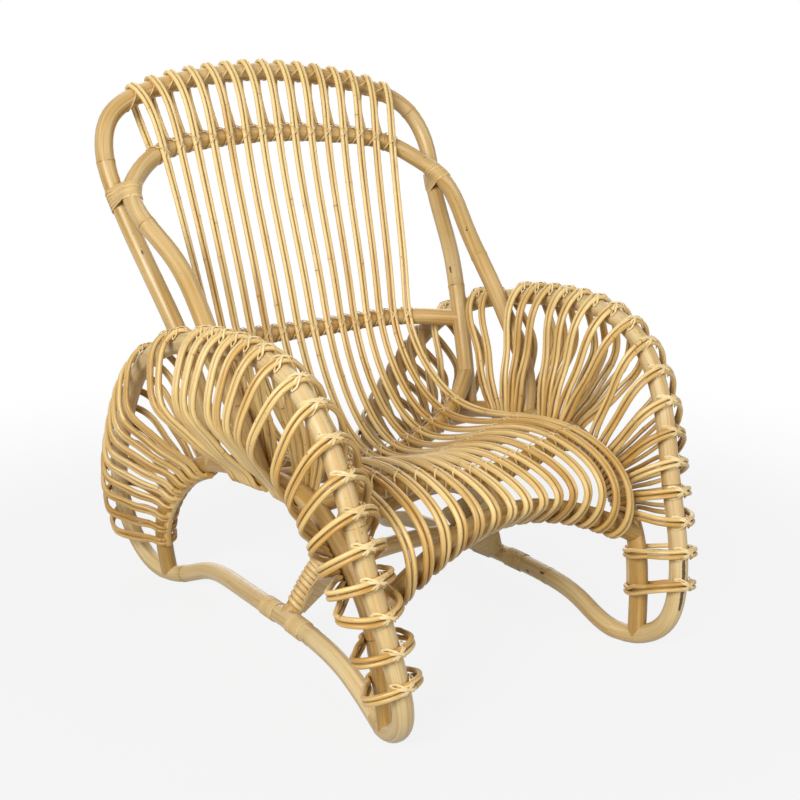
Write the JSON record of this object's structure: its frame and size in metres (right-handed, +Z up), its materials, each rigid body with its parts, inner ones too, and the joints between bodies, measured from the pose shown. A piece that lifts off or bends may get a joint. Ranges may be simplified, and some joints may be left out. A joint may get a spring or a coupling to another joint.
{
  "type": "rattan armchair",
  "caption": "Low rattan lounge armchair with bent pole frame, looped cane arms and a slatted seat that runs up into a hooped back.",
  "frame": {"origin": "on the floor, below the middle of the chair's outer box", "axes": "+Z up; the sitter faces -Y; +X is the sitter's left"},
  "size_m": [0.7126, 0.8411, 0.8584],
  "materials": {
    "peeled_pole": "satin",
    "golden_cane": "satin",
    "pale_binding": "satin"
  },
  "bodies": {
    "root": {"base_stretcher": "peeled_pole", "front_apron_rail": "peeled_pole", "front_post": "peeled_pole", "inner_back_hoop": "peeled_pole", "left_arm_loops_1": "golden_cane", "left_arm_loops_2": "golden_cane", "left_arm_loops_3": "golden_cane", "left_arm_loops_4": "golden_cane", "left_arm_loops_5": "golden_cane", "left_arm_loops_6": "golden_cane", "left_hoop_lashing": "pale_binding", "left_inner_arch": "peeled_pole", "left_joint_wrap": "pale_binding", "left_runner_binding_front": "pale_binding", "left_runner_binding_rear": "pale_binding", "left_side_loop": "peeled_pole", "lumbar_rail": "peeled_pole", "outer_back_hoop": "peeled_pole", "right_arm_loops_1": "golden_cane", "right_arm_loops_2": "golden_cane", "right_arm_loops_3": "golden_cane", "right_arm_loops_4": "golden_cane", "right_arm_loops_5": "golden_cane", "right_arm_loops_6": "golden_cane", "right_hoop_lashing": "pale_binding", "right_inner_arch": "peeled_pole", "right_joint_wrap": "pale_binding", "right_runner_binding_front": "pale_binding", "right_runner_binding_rear": "pale_binding", "right_side_loop": "peeled_pole", "seat_front_rail": "peeled_pole", "seat_middle_rail": "peeled_pole", "seat_rear_rail": "peeled_pole", "slat_01": "golden_cane", "slat_02": "golden_cane", "slat_03": "golden_cane", "slat_04": "golden_cane", "slat_05": "golden_cane", "slat_06": "golden_cane", "slat_07": "golden_cane", "slat_08": "golden_cane", "slat_09": "golden_cane", "slat_10": "golden_cane", "slat_11": "golden_cane", "slat_12": "golden_cane", "slat_13": "golden_cane", "slat_14": "golden_cane", "slat_15": "golden_cane", "under_seat_arch": "peeled_pole"}
  },
  "joints": []
}
